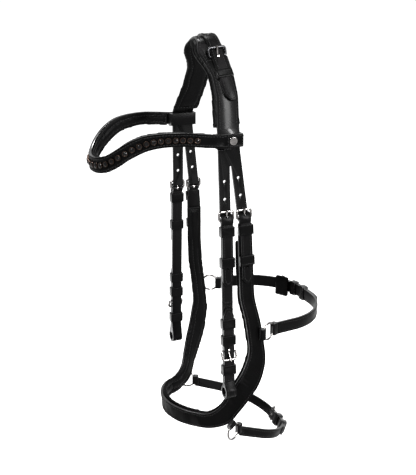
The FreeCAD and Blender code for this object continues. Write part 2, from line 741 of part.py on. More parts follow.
bar_point, down, out = left_of_poll(crown_bar, -GAP / 2)
lift = math.asin((lift_reach + GAP / 2) / DEPTH)
up_route = down * -math.cos(lift) + out * math.sin(lift)
crown_width = size("crown_width") + 8.6
across = down.cross(out)
crown_place = bar_place(bar_point, across, up_route)
buckle("crown_buckle", crown_place, crown_width, DEPTH)
tongue("crown_tongue", crown_place, 1, DEPTH)
flat_place = bar_place(bar_point, across, down * -1)
play = BAR + size("bar_play")
room = Part.makeBox(crown_width + 1, play, 7, Vector(-crown_width / 2 - 0.5, -play, -play))
room = room.fuse([Part.makeBox(3.4, 5.8, 5.8, Vector(-1.7, -2.9, -2.9)),
                  Part.makeCylinder(play, crown_width, Vector(-crown_width / 2, 0, 0), Vector(1, 0, 0))])
slot = Part.makeBox(3.4, 8, 12, Vector(-1.7, -2.9, -2.9))
slot = slot.fuse(Part.makeCylinder(play, crown_width, Vector(-crown_width / 2, 0, 0), Vector(1, 0, 0)))
for label, base, tool in (("headpiece", headpiece, room), ("crown_strap", crown_leather, slot)):
    cutter = solid(label + "_bar_room", tool, flat_place)
    cut = doc.addObject("Part::Cut", label)
    cut.Label = label
    cut.Base, cut.Tool = base, cutter

loop_point, down, out = left_of_poll(crown_loop, 0)
crown_keeper = new_body("crown_keeper")
legs, wall = crown_half + 0.6, size("keeper_wall")
crest = LEATHER + 2 * GAP + 0.3
pad(crown_keeper, "loop", "XY_Plane", outline([
    (-legs - wall, 0.15, 0), (-legs - wall, crest + wall, 2), (legs + wall, crest + wall, 2),
    (legs + wall, 0.15, 0), (legs, 0.15, 0), (legs, crest, 0), (-legs, crest, 0),
    (-legs, 0.15, 0)]), 10)
crown_keeper.Placement = bar_place(loop_point, down.cross(out), down * -1)


# ---------------------------------------------------------------- rings and their straps

def ring_place(side, x, spread, level):
    """Place of a ring: its own Y is its axis and its own +X points back."""
    return Placement(Vector(x, side * spread, level),
                     Rotation(Vector(0, 0, 1), -side * size("ring_yaw")))


def wire_room(play):
    torus = Part.makeTorus(size("ring_radius"), size("ring_wire") + play,
                           Vector(0, 0, 0), Vector(0, 1, 0))
    return torus


def nose_chape(place, angle, width, reach):
    """The fold of leather that holds a ring on the noseband's edge; angle is where it
    holds the ring, from straight behind upwards."""
    block = Part.makeBox(reach + 2.8, 6.4, width, Vector(size("ring_radius") - 2.8, -3.2, -width / 2))
    block = block.makeFillet(2, [e for e in block.Edges if abs(e.tangentAt(0).z) > 0.9])
    block.rotate(Vector(0, 0, 0), Vector(0, 1, 0), -angle)
    block = block.cut(wire_room(size("ring_play"))).transformed(place.toMatrix())
    block = block.cut([nose_leather, nose_lining])
    return max(block.Solids, key=lambda piece: piece.Volume)


def strap_eye(place, width):
    """The loose end of a strap folded round the back of a ring."""
    block = Part.makeBox(9, 8, width, Vector(size("ring_radius") - 3.6, -4, -width / 2))
    block = block.makeFillet(2.6, [e for e in block.Edges if abs(e.tangentAt(0).z) > 0.9])
    return block.cut(wire_room(size("eye_play"))).transformed(place.toMatrix())


def ringed_strap(word, x, level, width, first_heading, chape_angle, chape_width,
                 bar_share, tip_length, pad_height):
    """A strap that closes behind the jaw or chin: four of its pieces, its buckle, its
    pad if it has one, and the rings and chapes that join it to the noseband."""
    spread, reach = size(f"{word}_spread"), size(f"{word}_reach")
    bend, drop = size(f"{word}_bend"), size(f"{word}_drop")
    base = Placement(Vector(x, 0, level), Rotation(Vector(0, 1, 0), drop))
    start_x, start_y = 14.0, spread - 7.0
    a = math.radians(first_heading)
    run = (reach - start_x - bend * (1 - math.sin(a))) / math.cos(a)
    middle = 2 * (start_y - run * math.sin(a) - bend * math.cos(a))
    turn = 90 - first_heading
    route = Track((start_x, -start_y), first_heading, [
        ("run", run), ("bend", bend, turn), ("run", middle), ("bend", bend, turn), ("run", run)])
    bar_along = route.length * bar_share
    end = bar_along + 5
    tip = bar_along - tip_length
    outer_near, outer_far = LEATHER + GAP, 2 * LEATHER + GAP
    spare_hole = 12.0
    seam = LEATHER + GAP / 2

    def cut_for_buckle(body, near, far):
        point = route.at(bar_along, seam)[0]
        pocket(body, "bar_bore", "XY_Plane", circle(point.x, point.y, play))
        pocket(body, "tongue_room", "XY_Plane", route.ribbon(bar_along - 3, bar_along + 9, near, far), 3.4)

    left = new_body(f"{word}_left_leather")
    pad(left, "strap", "XY_Plane", route.ribbon(0, end, 0, LEATHER), f"Sizes.{word}_width")
    cut_for_buckle(left, -0.5, LEATHER + 0.5)
    right = new_body(f"{word}_right_leather")
    pad(right, "strap", "XY_Plane", route.ribbon(tip, route.length, outer_near, outer_far),
        f"Sizes.{word}_width")
    cut_for_buckle(right, outer_near - 0.5, outer_far + 0.5)
    point, angle = route.at(bar_along + spare_hole, outer_far + 1)
    punch = Part.makeCylinder(size("hole_radius"), LEATHER + 2, point,
                              Vector(-math.sin(angle), math.cos(angle), 0))
    punched = doc.addObject("Part::Cut", f"{word}_punched")
    right.Placement = base
    punched.Base = right
    punched.Tool = solid(f"{word}_punch", punch, base)
    left.Placement = base
    for label, side, body in (("left", -1, left), ("right", 1, punched)):
        place = ring_place(side, x, spread, level)
        eye = solid(f"{word}_eye_{label}", strap_eye(place, width))
        strap = doc.addObject("Part::Fuse", f"{word}_strap_{label}")
        strap.Label = f"{word}_strap_{label}"
        strap.Base, strap.Tool = body, eye
        ring = doc.addObject("Part::Torus", f"{word}_ring_{label}")
        ring.Label = f"{word}_ring_{label}"
        ring.setExpression("Radius1", "Sizes.ring_radius")
        ring.setExpression("Radius2", "Sizes.ring_wire")
        ring.Placement = place.multiply(Placement(Vector(0, 0, 0), Rotation(Vector(1, 0, 0), 90)))
    solid(f"{word}_ring_chapes", Part.makeCompound([
        nose_chape(ring_place(side, x, spread, level), chape_angle, chape_width, 5.0)
        for _, side in SIDES]))

    point, angle = route.at(bar_along, seam)
    ahead = Vector(math.cos(angle), math.sin(angle), 0)
    outside = Vector(math.sin(angle), -math.cos(angle), 0)
    rise = math.asin((outer_far + BAR + 0.3 - seam) / (DEPTH + 1))
    tilted = ahead * math.cos(rise) + outside * math.sin(rise)
    place = base.multiply(bar_place(point, Vector(0, 0, 1), tilted))
    buckle(f"{word}_buckle", place, width + 8, DEPTH + 1)
    tongue(f"{word}_tongue", place, 1, DEPTH + 1)
    loops = []
    for back in (15, 36):
        point, angle = route.at(bar_along - back)
        ahead = Vector(math.cos(angle), math.sin(angle), 0)
        edges = [edge.toShape() for edge in keeper_edges(width, 0, outer_far, 1)]
        outer, inner = [Part.Face(Part.Wire(Part.sortEdges(group)[0])).extrude(Vector(0, 0, 9))
                        for group in (edges[:8], edges[8:])]
        loop = outer.cut(inner)
        loop.translate(Vector(0, 0, -4.5))
        loops.append(loop.transformed(base.multiply(bar_place(point, Vector(0, 0, 1), ahead)).toMatrix()))
    solid(f"{word}_keepers", Part.makeCompound(loops))
    if pad_height:
        cushion = new_body(f"{word}_pad")
        pad(cushion, "cushion", "XY_Plane", route.ribbon(bar_along - 8, bar_along + 14, -0.3, -6.5),
            pad_height)
        cushion.Placement = base
    return route, base


ringed_strap("jaw", 48, -354, size("jaw_width"), 8.6, 180, 15, 0.66, 74, 30)
ringed_strap("chin", 6, -496, size("chin_width"), 4, 110, 12, 0.5, 54, 0)


# ---------------------------------------------------------------- parts

doc.recompute()
NODES = ["headpiece", "headpiece_padding", "crown_strap", "crown_buckle", "crown_tongue",
         "crown_keeper", "browband", "browband_padding", "browband_crystal_cups",
         "browband_crystals", "browband_stud", "noseband", "noseband_padding"]
for word in ("cheek_buckle", "cheek_tongue", "cheek_strap", "cheek_billet_tip",
             "cheek_fixed_keepers", "cheek_sliding_keeper", "bit_buckle", "bit_tongue",
             "noseband_buckle", "noseband_tongue", "noseband_billet_tip", "noseband_keepers",
             "jaw_ring", "chin_ring", "jaw_strap", "chin_strap"):
    NODES += [f"{word}_left", f"{word}_right"]
NODES += ["jaw_ring_chapes", "chin_ring_chapes", "jaw_pad", "jaw_buckle", "jaw_tongue",
          "jaw_keepers", "chin_buckle", "chin_tongue", "chin_keepers"]

for item in doc.Objects:
    if "Invalid" in item.State or "Error" in item.State:
        raise RuntimeError(f"{item.Label} failed to compute")
os.makedirs("parts", exist_ok=True)
for name in NODES:
    shape = doc.getObjectsByLabel(name)[0].Shape
    if shape.isNull() or not shape.isValid() or not shape.Solids:
        raise RuntimeError(f"{name} has no valid solid")
    shape.exportStep(f"parts/{name}.step")
print(len(NODES), "parts")
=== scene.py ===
import bmesh
import bpy
import json
import math
from mathutils import Matrix, Vector
from mathutils.kdtree import KDTree

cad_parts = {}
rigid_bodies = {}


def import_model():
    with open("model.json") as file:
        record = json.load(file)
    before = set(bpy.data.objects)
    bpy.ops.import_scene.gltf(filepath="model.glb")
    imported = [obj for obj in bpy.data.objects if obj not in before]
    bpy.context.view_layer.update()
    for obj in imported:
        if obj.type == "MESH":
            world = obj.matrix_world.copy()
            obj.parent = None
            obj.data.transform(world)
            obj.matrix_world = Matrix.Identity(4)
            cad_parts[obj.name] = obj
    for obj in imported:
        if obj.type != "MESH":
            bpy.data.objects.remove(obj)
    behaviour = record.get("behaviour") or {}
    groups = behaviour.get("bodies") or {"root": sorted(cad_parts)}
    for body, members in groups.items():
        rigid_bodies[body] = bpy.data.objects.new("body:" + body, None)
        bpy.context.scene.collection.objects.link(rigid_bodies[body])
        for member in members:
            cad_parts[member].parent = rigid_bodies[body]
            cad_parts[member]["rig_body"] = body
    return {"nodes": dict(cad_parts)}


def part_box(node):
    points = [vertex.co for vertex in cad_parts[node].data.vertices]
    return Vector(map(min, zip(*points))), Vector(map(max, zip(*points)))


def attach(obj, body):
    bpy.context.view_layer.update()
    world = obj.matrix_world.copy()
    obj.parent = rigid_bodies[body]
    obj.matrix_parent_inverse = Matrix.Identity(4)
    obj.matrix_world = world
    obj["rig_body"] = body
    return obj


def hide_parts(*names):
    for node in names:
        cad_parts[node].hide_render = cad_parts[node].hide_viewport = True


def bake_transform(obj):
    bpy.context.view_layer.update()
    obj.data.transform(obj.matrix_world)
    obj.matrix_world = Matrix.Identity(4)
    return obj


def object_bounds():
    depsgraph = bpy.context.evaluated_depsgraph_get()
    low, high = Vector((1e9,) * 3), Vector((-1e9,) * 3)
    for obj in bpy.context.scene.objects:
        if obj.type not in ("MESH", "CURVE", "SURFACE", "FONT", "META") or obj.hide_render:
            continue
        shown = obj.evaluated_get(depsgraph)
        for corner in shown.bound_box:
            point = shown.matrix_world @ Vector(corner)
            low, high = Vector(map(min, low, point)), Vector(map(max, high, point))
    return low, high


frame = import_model()
cad_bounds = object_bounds()
NODES = frame["nodes"]
MM = 0.001
SIDES = ("left", "right")
STRAP_WIDTH = 14
BAR_RADIUS = 1.5
SHORTEST_SEAM = 60


# ------------------------------------------------------------------ workbench

def lay_down_tools():
    """Nothing selected, nothing being edited."""
    if bpy.context.object and bpy.context.object.mode != "OBJECT":
        bpy.ops.object.mode_set(mode="OBJECT")
    bpy.ops.object.select_all(action="DESELECT")


def take(piece):
    """Selects one piece alone, ready to be worked on."""
    lay_down_tools()
    piece.select_set(True)
    bpy.context.view_layer.objects.active = piece


def settle(piece):
    """Puts the piece's place into its mesh and leaves its object at the origin."""
    take(piece)
    bpy.ops.object.transform_apply(location=True, rotation=True, scale=True)


def finish_with(piece, kind, **values):
    """Adds a modifier and applies it at once."""
    take(piece)
    modifier = piece.modifiers.new(kind.lower(), kind)
    for key, value in values.items():
        setattr(modifier, key, value)
    bpy.ops.object.modifier_apply(modifier=modifier.name)


def pattern_of(name, node, flat=2.0):
    """A copy of a node's shape, its corners joined and its flat faces made whole."""
    source = NODES[node]
    piece = bpy.data.objects.new(name, source.data.copy())
    bpy.context.scene.collection.objects.link(piece)
    piece.data.materials.clear()
    take(piece)
    bpy.ops.mesh.customdata_custom_splitnormals_clear()
    bpy.ops.object.mode_set(mode="EDIT")
    bpy.ops.mesh.select_all(action="SELECT")
    bpy.ops.mesh.remove_doubles(threshold=2e-6)
    bpy.ops.mesh.dissolve_limited(angle_limit=math.radians(flat))
    bpy.ops.mesh.normals_make_consistent(inside=False)
    bpy.ops.object.mode_set(mode="OBJECT")
    return piece


def cut_out(name, node):
    """A new piece cut to a node's pattern, which it stands for."""
    piece = pattern_of(name, node)
    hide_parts(node)
    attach(piece, NODES[node]["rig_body"])
    return piece


def copies(name, shape, places):
    """One mesh of many copies of a small shape (corners, faces), each at its own place."""
    corners, faces = shape
    verts, polys = [], []
    for place in places:
        start = len(verts)
        verts += [place @ corner for corner in corners]
        polys += [tuple(start + k for k in face) for face in faces]
    mesh = bpy.data.meshes.new(name)
    mesh.from_pydata(verts, [], polys)
    piece = bpy.data.objects.new(name, mesh)
    bpy.context.scene.collection.objects.link(piece)
    return piece


def as_shape(piece):
    """Takes a small piece off the bench as corners and faces, to be copied."""
    shape = ([v.co.copy() for v in piece.data.vertices],
             [tuple(p.vertices) for p in piece.data.polygons])
    bpy.data.objects.remove(piece)
    return shape


def standing(spot, along, up):
    """A place whose X runs along and whose Z points up from a surface."""
    across = up.cross(along).normalized()
    turn = Matrix((along, across, along.cross(across))).transposed().to_4x4()
    return Matrix.Translation(spot) @ turn


def turn_outwards(piece):
    """Makes all faces of a piece look outwards."""
    take(piece)
    bpy.ops.object.mode_set(mode="EDIT")
    bpy.ops.mesh.select_all(action="SELECT")
    bpy.ops.mesh.normals_make_consistent(inside=False)
    bpy.ops.object.mode_set(mode="OBJECT")


def round_edges(piece, width, angle=40, segments=2):
    """Rounds the sharp edges by width."""
    finish_with(piece, "BEVEL", width=width * MM, segments=segments, limit_method="ANGLE",
                angle_limit=math.radians(angle), use_clamp_overlap=True, harden_normals=False)
    smooth(piece)


def smooth(piece, angle=35):
    """Shades a piece smooth, except across edges sharper than angle."""
    take(piece)
    bpy.ops.object.shade_smooth_by_angle(angle=math.radians(angle))


# ------------------------------------------------------------------ which way is out

def from_post(x, y=0.0):
    """Outwards from an upright post, for what goes round the head."""
    post = Vector((x * MM, y * MM, 0))
    return lambda point: (Vector((point.x, point.y, 0)) - post).normalized()


def over_poll(level):
    """Outwards from a line across the poll, for what goes over the head."""
    def out(point):
        return Vector((0, point.y, max(point.z - level * MM, 0))).normalized()
    return out


def sideways(point):
    """Outwards from the middle of the head, for what hangs on a cheek."""
    return Vector((0, math.copysign(1, point.y), 0))


over_headpiece = over_poll(-80)
round_brow = from_post(-20)
round_nose = from_post(20)
round_jaw = from_post(50)
round_chin = from_post(10)


# ------------------------------------------------------------------ creases and stitches

def inset_faces(piece, out, least, thickness):
    """Selects the faces that look outwards and insets them together."""
    take(piece)
    bpy.ops.object.mode_set(mode="EDIT")
    bpy.ops.mesh.select_mode(type="FACE")
    bpy.ops.mesh.select_all(action="DESELECT")
    shape = bmesh.from_edit_mesh(piece.data)
    for face in shape.faces:
        face.select_set(face.normal.dot(out(face.calc_center_median())) > least)
    bmesh.update_edit_mesh(piece.data)
    bpy.ops.mesh.inset(thickness=thickness * MM, use_even_offset=False, use_boundary=True)


def crease(piece, out, margin=1.8, least=0.6, deep=0.25, wide=0.5):
    """Presses a crease along the edges of the outer face and returns its lines."""
    inset_faces(piece, out, least, margin)
    bpy.ops.mesh.inset(thickness=wide * MM, use_even_offset=False, use_boundary=True)
    shape = bmesh.from_edit_mesh(piece.data)
    shape.normal_update()
    rim = [e for e in shape.edges
           if len(e.link_faces) == 2 and e.link_faces[0].select != e.link_faces[1].select]
    lines = in_order(rim)
    bpy.ops.mesh.inset(thickness=wide * MM, use_even_offset=False, use_boundary=True)
    points = [[(v.co.copy(), v.normal.copy()) for v in line] for line in lines]
    for line in lines:
        for vertex in line:
            vertex.co -= vertex.normal * deep * MM
    bmesh.update_edit_mesh(piece.data)
    bpy.ops.object.mode_set(mode="OBJECT")
    return points


def in_order(edges):
    """The corners along each closed line of edges, in order."""
    ways = {}
    for edge in edges:
        for vertex in edge.verts:
            ways.setdefault(vertex, []).append(edge)
    left, lines = set(edges), []
    for first in edges:
        if first not in left:
            continue
        left.discard(first)
        line, here = [first.verts[0]], first.verts[1]
        while here is not line[0]:
            line.append(here)
            onward = [e for e in ways[here] if e in left]
            if not onward:
                break
            left.discard(onward[0])
            here = onward[0].other_vert(here)
        if len(line) > 3:
            lines.append(line)
    return lines


def thread_stitch(long, thick):
    """One stitch: a short thread that rises from its hole and goes down again."""
    lay_down_tools()
    bpy.ops.mesh.primitive_cylinder_add(vertices=6, radius=thick / 2 * MM, depth=long * MM,
                                        end_fill_type="NGON", rotation=(0, math.pi / 2, 0))
    stitch = bpy.context.object
    settle(stitch)
    bpy.ops.object.mode_set(mode="EDIT")
    bpy.ops.mesh.select_mode(type="FACE")
    bpy.ops.mesh.select_all(action="DESELECT")
    shape = bmesh.from_edit_mesh(stitch.data)
    for face in shape.faces:
        face.select_set(abs(face.normal.x) > 0.9)
    bmesh.update_edit_mesh(stitch.data)
    bpy.ops.mesh.bevel(offset=thick * 0.3 * MM, segments=1)
    bpy.ops.object.mode_set(mode="OBJECT")
    return as_shape(stitch)


STITCH = {}


def sew(name, body, lines, pitch=3.6, long=2.7, thick=0.75, lift=0.1, keep=None):
    """Stitches along closed lines of (point, normal), one mesh for the seam.  A line shorter
    than a seam is a hole or a slot, and isn't sewn."""
    key = (long, thick)
    if key not in STITCH:
        STITCH[key] = thread_stitch(long, thick)
    places = []
    for line in lines:
        closed = line + [line[0]]
        spans = [(b[0] - a[0]).length for a, b in zip(closed, closed[1:])]
        total = sum(spans)
        if total < SHORTEST_SEAM * MM:
            continue
        count = round(total / (pitch * MM))
        step = total / count
        goal, done, i = step / 2, 0.0, 0
        for _ in range(count):
            while i < len(spans) - 1 and done + spans[i] < goal:
                done += spans[i]
                i += 1
            share = (goal - done) / max(spans[i], 1e-9)
            goal += step
            (a, na), (b, nb) = closed[i], closed[i + 1]
            spot, up = a.lerp(b, share), na.lerp(nb, share).normalized()
            if keep and not keep(spot):
                continue
            along = (b - a).normalized()
            if up.cross(along).length > 0.2:
                places.append(standing(spot + up * lift * MM, along, up))
    seam = copies(name, STITCH[key], places)
    smooth(seam, 50)
    dress(seam, waxed_thread)
    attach(seam, body)
    return seam


# ------------------------------------------------------------------ finishes

class Finish:
    """A material and its shader, with a few short ways to wire nodes."""

    def __init__(self, name, **sockets):
        self.material = bpy.data.materials.new(name)
        self.material.use_nodes = True
        self.tree = self.material.node_tree
        self.shader = self.tree.nodes["Principled BSDF"]
        for key, value in sockets.items():
            self.shader.inputs[key.replace("_", " ")].default_value = value
        self.place = self.tree.nodes.new("ShaderNodeTexCoord").outputs["Object"]

    def node(self, kind, inputs=None, **settings):
        made = self.tree.nodes.new(kind)
        for key, value in settings.items():
            setattr(made, key, value)
        for key, value in (inputs or {}).items():
            if isinstance(value, bpy.types.NodeSocket):
                self.tree.links.new(value, made.inputs[key])
            else:
                made.inputs[key].default_value = value
        return made

    def noise(self, scale, detail=2.0, rough=0.5, at=None):
        return self.node("ShaderNodeTexNoise", {"Vector": at or self.place, "Scale": scale,
                                                "Detail": detail, "Roughness": rough}
                         ).outputs["Fac"]

    def cells(self, scale, feature="F1"):
        return self.node("ShaderNodeTexVoronoi", {"Vector": self.place, "Scale": scale},
                         feature=feature).outputs["Distance"]

    def spread(self, value, low, high, to_low, to_high):
        return self.node("ShaderNodeMapRange", {"Value": value, "From Min": low,
                                                "From Max": high, "To Min": to_low,
                                                "To Max": to_high}).outputs["Result"]

    def shades(self, value, *stops):
        ramp = self.node("ShaderNodeValToRGB", {"Fac": value})
        points = ramp.color_ramp.elements
        while len(points) < len(stops):
            points.new(0.5)
        for point, (where, colour) in zip(points, stops):
            point.position = where
            point.color = (*colour, 1)
        return ramp.outputs["Color"]

    def mixed(self, share, one, two):
        mix = self.node("ShaderNodeMix", data_type="RGBA")
        for socket, value in zip((mix.inputs[0], mix.inputs[6], mix.inputs[7]),
                                 (share, one, two)):
            if isinstance(value, bpy.types.NodeSocket):
                self.tree.links.new(value, socket)
            else:
                socket.default_value = value
        return mix.outputs[2]

    def worn(self, low=0.52, high=0.6):
        """How much an edge stands out, for wear."""
        edge = self.node("ShaderNodeNewGeometry").outputs["Pointiness"]
        return self.spread(edge, low, high, 0.0, 1.0)

    def bump(self, height, distance, strength=1.0, under=None):
        inputs = {"Height": height, "Distance": distance * MM, "Strength": strength}
        if under:
            inputs["Normal"] = under
        return self.node("ShaderNodeBump", inputs).outputs["Normal"]

    def wire(self, **sockets):
        for key, value in sockets.items():
            self.tree.links.new(value, self.shader.inputs[key.replace("_", " ")])
        return self.material


def leather(name, tone, worn_tone, rough, grain, coat, folds):
    """Black leather: pebbled grain, long soft folds, polish that varies, rubbed edges."""
    f = Finish(name, Coat_Weight=coat, Coat_Roughness=0.14, Specular_IOR_Level=0.018)
    patches = f.noise(38, 3)
    colour = f.shades(patches, (0.3, [c * 0.75 for c in tone]), (0.7, [c * 1.3 for c in tone]))
    colour = f.mixed(f.worn(), colour, (*worn_tone, 1))
    pebbles = f.cells(1500)
    pores = f.noise(4200, 1)
    first = f.bump(f.noise(95, 3, 0.6), folds)
    second = f.bump(pebbles, grain, 0.7, first)
    third = f.bump(pores, grain * 0.4, 0.5, second)
    polish = f.spread(f.noise(60, 4, 0.6), 0.3, 0.7, rough - 0.05, rough + 0.08)
    return f.wire(Base_Color=colour, Roughness=polish, Normal=third)


def metal(name, tone, dull, rough, scratch=0.02):
    """Polished metal with cast ripples, fine scratches and a dull film in patches."""
    f = Finish(name, Metallic=1.0)
    film = f.noise(120, 4, 0.6)
    colour = f.shades(film, (0.3, dull), (0.62, tone))
    scratches = f.node("ShaderNodeMapping", {"Vector": f.place, "Scale": (1.0, 9.0, 9.0)})
    fine = f.noise(900, 2, 0.6, scratches.outputs["Vector"])
    normal = f.bump(fine, scratch, 0.5, f.bump(f.noise(180, 1), 0.06, 0.6))
    polish = f.spread(film, 0.3, 0.7, rough + 0.12, rough)
    return f.wire(Base_Color=colour, Roughness=polish, Normal=normal)


strap_leather = leather("bridle leather", (0.0004, 0.0004, 0.00042), (0.002, 0.0019, 0.002),
                        0.30, 0.03, 0.0, 0.10)
panel_leather = leather("smooth panel leather", (0.0004, 0.0004, 0.00042), (0.002, 0.0019, 0.002),
                        0.27, 0.018, 0.06, 0.06)
lining_leather = leather("soft lining leather", (0.0005, 0.0005, 0.00052), (0.002, 0.0019, 0.002),
                         0.42, 0.05, 0.0, 0.25)
silver = metal("polished stainless steel", (0.15, 0.143, 0.14), (0.06, 0.057, 0.056), 0.14)
# A near-black metal, given to the crown buckle alone.
near_black_metal = metal("near-black steel", (0.02, 0.02, 0.021), (0.01, 0.01, 0.0105), 0.22)
bronze = metal("dark bronze", (0.028, 0.018, 0.014), (0.012, 0.008, 0.0065), 0.26)


def make_thread():
    """Waxed black thread, twisted."""
    f = Finish("waxed black thread", Specular_IOR_Level=0.05, Sheen_Weight=0.02)
    twist = f.node("ShaderNodeTexWave", {"Vector": f.place, "Scale": 700.0, "Distortion": 1.0},
                   bands_direction="DIAGONAL")
    colour = f.shades(f.noise(500), (0.3, (0.0015, 0.0015, 0.0016)), (0.7, (0.004, 0.0039, 0.004)))
    rough = f.spread(f.noise(300), 0.3, 0.7, 0.42, 0.6)
    return f.wire(Base_Color=colour, Roughness=rough,
                  Normal=f.bump(twist.outputs["Fac"], 0.08, 0.6))


def make_edge_paint():
    """Glossy paint on cut edges, a little uneven."""
    f = Finish("painted leather edge", Coat_Weight=0.2, Coat_Roughness=0.14,
               Specular_IOR_Level=0.3)
    colour = f.shades(f.noise(150, 3), (0.3, (0.0015, 0.0015, 0.0016)),
                      (0.7, (0.004, 0.0039, 0.004)))
    rough = f.spread(f.noise(240, 3), 0.3, 0.7, 0.26, 0.4)
    return f.wire(Base_Color=colour, Roughness=rough, Normal=f.bump(f.noise(380, 3), 0.05, 0.6))


def make_crystal():
    """Black cut glass with a faint cloud in it."""
    f = Finish("black crystal", IOR=1.5, Specular_IOR_Level=0.06)
    fire = f.noise(700, 1)
    colour = f.shades(fire, (0.35, (0.0005, 0.0005, 0.0007)), (0.65, (0.002, 0.0018, 0.0018)))
    rough = f.spread(f.noise(400, 2), 0.3, 0.7, 0.02, 0.07)
    return f.wire(Base_Color=colour, Roughness=rough)


waxed_thread = make_thread()
edge_paint = make_edge_paint()
crystal = make_crystal()


def dress(piece, material):
    """Gives a piece its material."""
    piece.data.materials.clear()
    piece.data.materials.append(material)


def paint_edges(piece, out, level=0.45):
    """The cut edges between the outer and the inner face get edge paint."""
    piece.data.materials.append(edge_paint)
    for face in piece.data.polygons:
        if abs(face.normal.dot(out(face.center))) < level:
            face.material_index = 1


# ------------------------------------------------------------------ camera, floor, light

def aim(thing, place, target):
    thing.location = place
    thing.rotation_euler = (target - place).to_track_quat("-Z", "Y").to_euler()


def set_camera():
    """Left of the front and a little above, with the whole bridle in view."""
    camera = bpy.data.objects.new("camera", bpy.data.cameras.new("camera"))
    bpy.context.scene.collection.objects.link(camera)
    camera.data.lens = 70.0
    camera.data.sensor_width = 36.0
    camera.data.clip_end = 50.0
    round_by, up_by, away = math.radians(-23.0), math.radians(18.2), 1.215
    target = Vector((4.5, 0, -251)) * MM
    back = Vector((math.sin(round_by) * math.cos(up_by), -math.cos(round_by) * math.cos(up_by),
                   math.sin(up_by)))
    aim(camera, target + back * away, target)
    bpy.context.scene.camera = camera


def softbox(name, place, wide, tall, power, target=(0, 0, -0.25)):
    light = bpy.data.objects.new(name, bpy.data.lights.new(name, "AREA"))
    bpy.context.scene.collection.objects.link(light)
    light.data.shape = "RECTANGLE"
    light.data.size, light.data.size_y = wide, tall
    light.data.energy = power
    aim(light, Vector(place), Vector(target))


def set_studio():
    """A pale floor just below the bridle, an even white surround and four soft lights."""
    lay_down_tools()
    bpy.ops.mesh.primitive_plane_add(size=60, location=(0, 0, cad_bounds[0].z - 30 * MM))
    floor = bpy.context.object
    floor.name = "floor"
    settle(floor)
    f = Finish("pale floor", Roughness=0.9, Specular_IOR_Level=0.1,
               Base_Color=(0.3, 0.3, 0.3, 1), Emission_Color=(1, 1, 1, 1),
               Emission_Strength=0.7)
    floor.data.materials.append(f.material)
    world = bpy.data.worlds.new("studio")
    world.use_nodes = True
    world.node_tree.nodes["Background"].inputs["Color"].default_value = (1, 1, 1, 1)
    world.node_tree.nodes["Background"].inputs["Strength"].default_value = 1.0
    bpy.context.scene.world = world
    softbox("window", (-1.2, -1.1, 1.1), 0.3, 1.2, 160)
    softbox("side window", (0.85, -1.5, 0.5), 0.14, 1.0, 110)
    softbox("panel light", (0.63, -1.07, 1.15), 0.35, 0.5, 30, target=(0, -0.07, -0.06))
    softbox("top", (0.1, 0.5, 1.6), 0.6, 0.5, 80)
    bpy.context.scene.view_settings.view_transform = "Standard"


set_camera()
set_studio()


# ------------------------------------------------------------------ strap pieces

def strap(name, node, out, material=None, margin=1.8, seam=True, keep=None, least=0.6,
          rounded=0.45, pitch=3.6, punched=False):
    """A flat strap: creased or stitched along its edges, its cut edges rounded and painted.
    A punched one keeps its face whole, and its seam is marked out on a spare pattern."""
    piece = cut_out(name, node)
    dress(piece, material or strap_leather)
    if punched:
        spare = pattern_of("pattern", node)
        lines = crease(spare, out, margin, least, deep=0)
        bpy.data.objects.remove(spare)
    else:
        lines = crease(piece, out, margin, least)
    if seam:
        sew(name + "_stitching", NODES[node]["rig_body"], lines, pitch=pitch, keep=keep)
    paint_edges(piece, out)
    round_edges(piece, rounded)
    return piece


def above_browband(point):
    return point.z > -94 * MM


def behind_jaw_rings(point):
    return point.x > 68 * MM


# Each leather piece: its node, which way is out, and how it differs from a plain strap.
LEATHERS = [
    ("headpiece", over_headpiece, dict(material=panel_leather, margin=2.2, punched=True,
                                      keep=above_browband)),
    ("crown_strap", over_headpiece, dict(punched=True)),
    ("crown_keeper", over_headpiece, dict(seam=False)),
    ("browband", round_brow, dict(margin=1.6)),
    ("noseband", round_nose, dict(margin=2.2)),
    ("jaw_strap_left", round_jaw, dict(punched=True, keep=behind_jaw_rings)),
    ("jaw_strap_right", round_jaw, dict(punched=True, keep=behind_jaw_rings)),
    ("chin_strap_left", round_chin, dict(punched=True)),
    ("chin_strap_right", round_chin, dict(punched=True)),
    ("jaw_keepers", round_jaw, dict(seam=False)),
    ("chin_keepers", round_chin, dict(seam=False)),
    ("jaw_ring_chapes", sideways, dict(seam=False, margin=1.4)),
    ("chin_ring_chapes", sideways, dict(seam=False, margin=1.4)),
]
for side in SIDES:
    LEATHERS += [
        (f"cheek_strap_{side}", sideways, dict(punched=True)),
        (f"cheek_billet_tip_{side}", sideways, dict(punched=True)),
        (f"noseband_billet_tip_{side}", sideways, dict(punched=True)),
        (f"cheek_fixed_keepers_{side}", sideways, dict(seam=False)),
        (f"cheek_sliding_keeper_{side}", sideways, dict(seam=False)),
        (f"noseband_keepers_{side}", sideways, dict(seam=False)),
    ]

for node, out, choices in LEATHERS:
    strap(node + "_leather", node, out, **choices)


# ------------------------------------------------------------------ billets through their buckles

# The billet's middle line where it comes out through the buckle, passes over the hinge bar
# and the eye on it, and lies down on the strap: mm outwards from the bar, mm above it.
THROUGH_BUCKLE = [(-3.0, 7.6), (-2.4, 6.7), (-0.6, 6.0), (1.8, 5.4), (3.9, 3.8),
                  (4.95, 1.4), (5.05, -1.2), (4.5, -3.8), (3.6, -6.4), (3.3, -9.0)]
BILLET_THICKNESS = 1.9
SLOT_HALF = 1.8
SLOT_LOW, SLOT_HIGH = 3.5, 6.5


